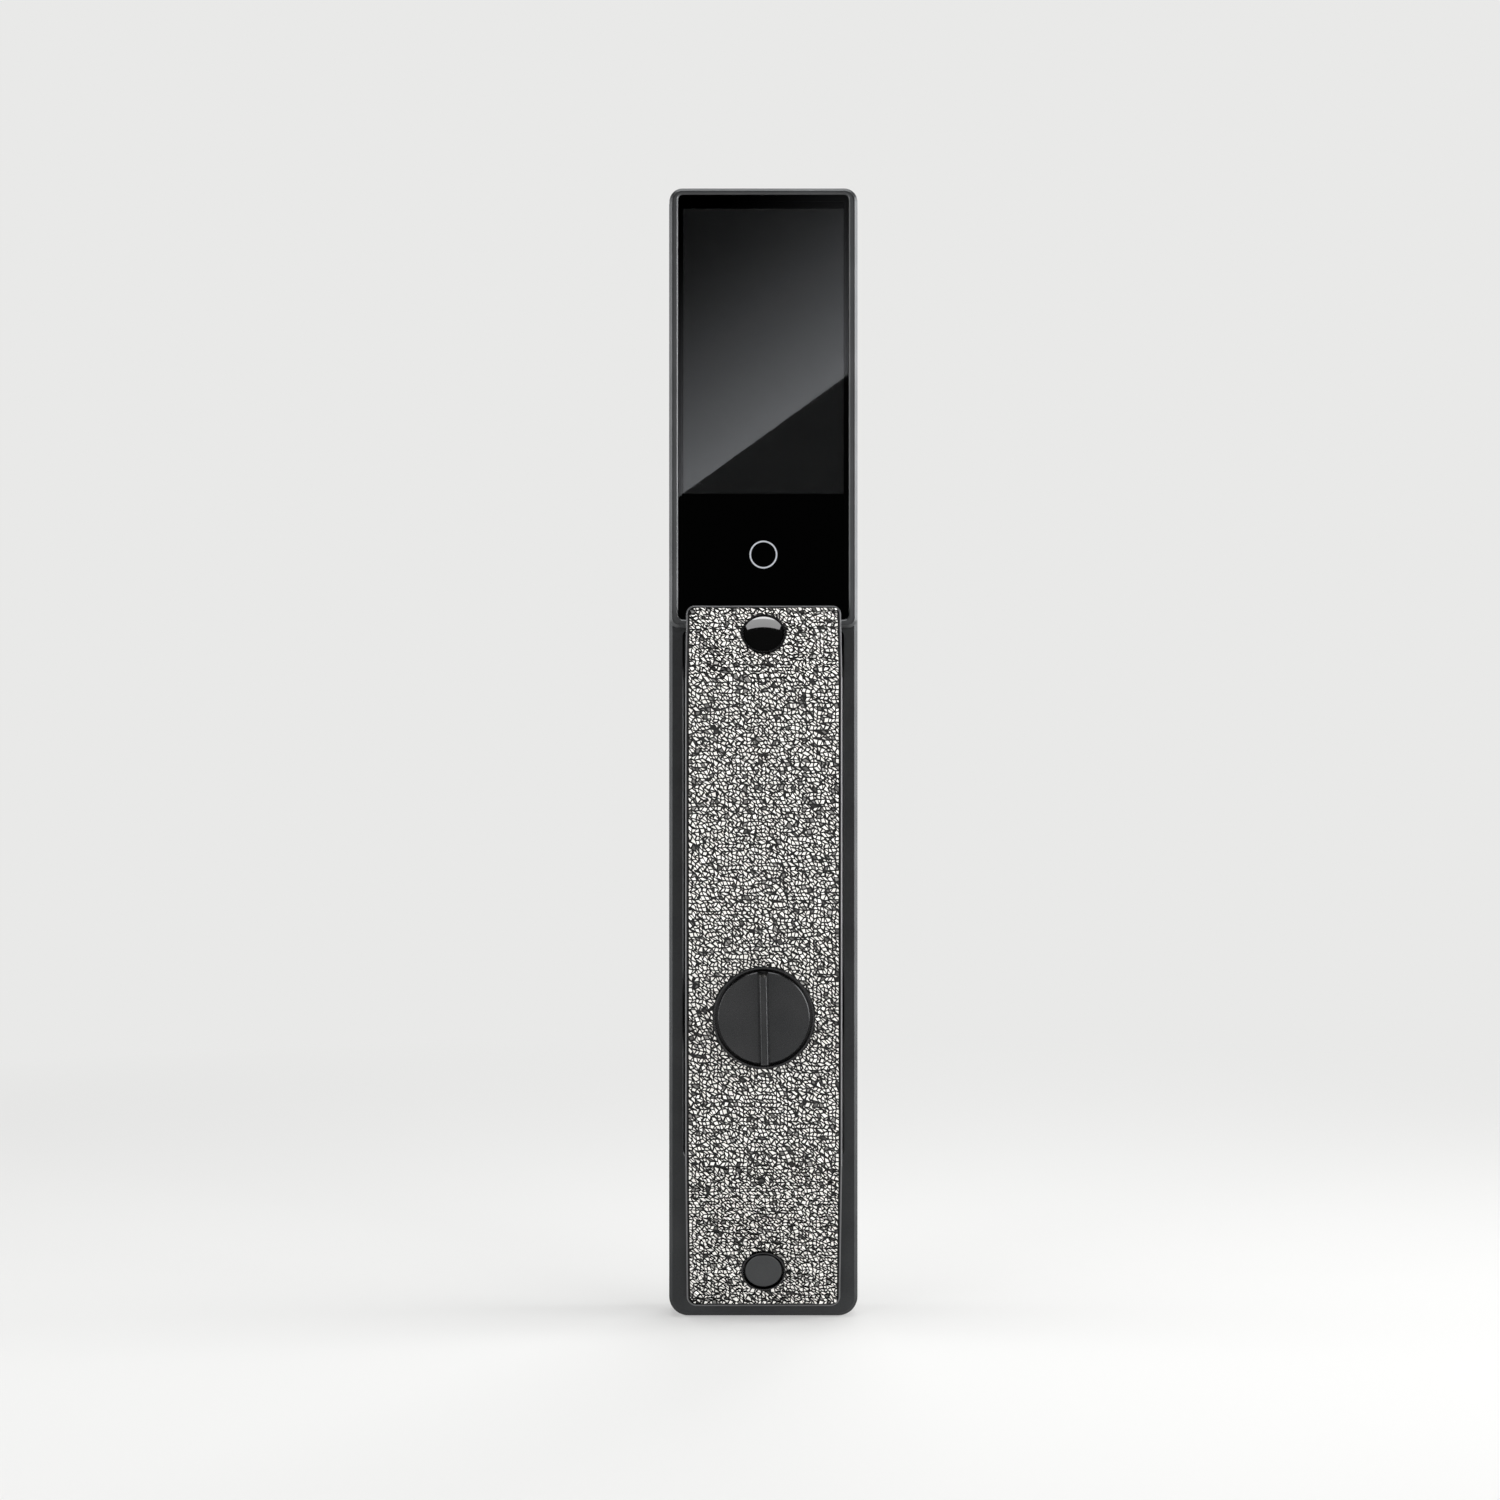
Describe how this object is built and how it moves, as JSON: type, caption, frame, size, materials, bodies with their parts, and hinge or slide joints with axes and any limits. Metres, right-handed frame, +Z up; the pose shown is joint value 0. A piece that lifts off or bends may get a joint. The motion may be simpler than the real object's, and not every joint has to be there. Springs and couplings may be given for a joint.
{
  "type": "keypad smart lock indoor panel",
  "caption": "Tall slim indoor panel of a smart door lock: a dark screen over a bridge grip with crystal inlay, push buttons and a thumb-turn.",
  "frame": {"origin": "middle of the panel's back, on the door's face", "axes": "+Z up the door, +Y into the door, so the front faces -Y, and +X to the right seen from the room"},
  "size_m": [0.0734, 0.0645, 0.438],
  "materials": {
    "gasket_rubber": "matt moulded foam rubber",
    "zinc_steel": "zinc-plated pressed steel",
    "housing_anodised": "fine-blasted, dark grey anodised",
    "frame_anodised": "fine-blasted, grey anodised, bright bevels",
    "bezel_polished": "polished dark anodised rim",
    "knob_anodised": "fine-blasted, dark grey anodised",
    "ring_dark": "turned, black anodised",
    "screw_steel": "black-zinc screw steel",
    "shaft_steel": "turned bare steel",
    "spring_steel": "drawn spring wire",
    "tinned_steel": "tin-plated sheet",
    "bushing_bronze": "sintered bronze",
    "contact_brass": "gold-plated brass",
    "magnet_nickel": "nickel-plated magnet",
    "cover_glass": "clear toughened glass",
    "mask_ink": "black printed film bonded to the glass",
    "display_dark": "switched-off display",
    "key_light": "white translucent light guide",
    "key_pad": "dark touch electrode",
    "crystal_inlay": "silvered crystal chips set in black resin",
    "button_gloss": "glossy black lens",
    "button_matte": "satin grey cap",
    "battery_wrap": "shrink-wrapped lithium pack",
    "black_plastic": "moulded black plastic",
    "socket_plastic": "natural nylon",
    "circuit_board": "green solder mask",
    "friction_rubber": "nitrile ring"
  },
  "bodies": {
    "panel": {"door_gasket": "gasket_rubber", "mounting_plate": "zinc_steel", "base_housing": "housing_anodised", "panel_screws": "screw_steel", "battery_door": "housing_anodised", "battery_door_screws": "screw_steel", "battery_pack": "battery_wrap", "battery_contact_block": "black_plastic", "battery_contacts": "contact_brass", "screen_frame": "frame_anodised", "frame_screws": "screw_steel", "cover_glass": "cover_glass", "mask_film": "mask_ink", "touch_key_ring": "key_light", "touch_key_pad": "key_pad", "display_panel": "display_dark", "display_board": "circuit_board", "display_carrier": "black_plastic", "main_board": "circuit_board", "shield_can": "tinned_steel", "loom_socket": "socket_plastic", "speaker": "black_plastic", "board_screws": "screw_steel", "grip_shell": "housing_anodised", "grip_back_cover": "housing_anodised", "cover_screws": "screw_steel", "grip_post": "housing_anodised", "knob_column": "housing_anodised", "grip_screws": "screw_steel", "inlay_frame": "bezel_polished", "upper_inlay": "crystal_inlay", "middle_inlay": "crystal_inlay", "lower_inlay": "crystal_inlay", "knob_ring": "ring_dark", "front_bushing": "bushing_bronze", "rear_bushing": "bushing_bronze", "turn_sensor_board": "circuit_board", "sensor_board_screws": "screw_steel", "open_button_cup": "ring_dark", "open_button_spring": "spring_steel", "open_button_board": "circuit_board", "open_button_switch": "black_plastic", "lock_button_cup": "ring_dark", "lock_button_spring": "spring_steel", "lock_button_board": "circuit_board", "lock_button_switch": "black_plastic"},
    "thumbturn": {"knob": "knob_anodised", "knob_shaft": "shaft_steel", "knob_screw": "screw_steel", "shaft_friction_ring": "friction_rubber", "shaft_washer": "shaft_steel", "shaft_circlip": "shaft_steel", "position_cam": "black_plastic", "sensor_magnet": "magnet_nickel"},
    "open_button": {"open_button": "button_gloss", "open_button_clip": "shaft_steel"},
    "lock_button": {"lock_button": "button_matte", "lock_button_clip": "shaft_steel"}
  },
  "joints": [
    {"name": "knob_turn", "type": "hinge", "parent": "panel", "child": "thumbturn", "pos_m": [0, -0.0524, -0.1001], "axis": [0, -1, 0], "range_deg": [0, 90]},
    {"name": "open_button_press", "type": "slide", "parent": "panel", "child": "open_button", "axis": [0, 0.8829, -0.4695], "range_m": [0, 0.001], "stiffness_N_per_m": 900, "springref_m": -0.0012, "deforming": ["open_button_spring"]},
    {"name": "lock_button_press", "type": "slide", "parent": "panel", "child": "lock_button", "axis": [0, 0.9272, 0.3746], "range_m": [0, 0.001], "stiffness_N_per_m": 900, "springref_m": -0.0012, "deforming": ["lock_button_spring"]}
  ]
}
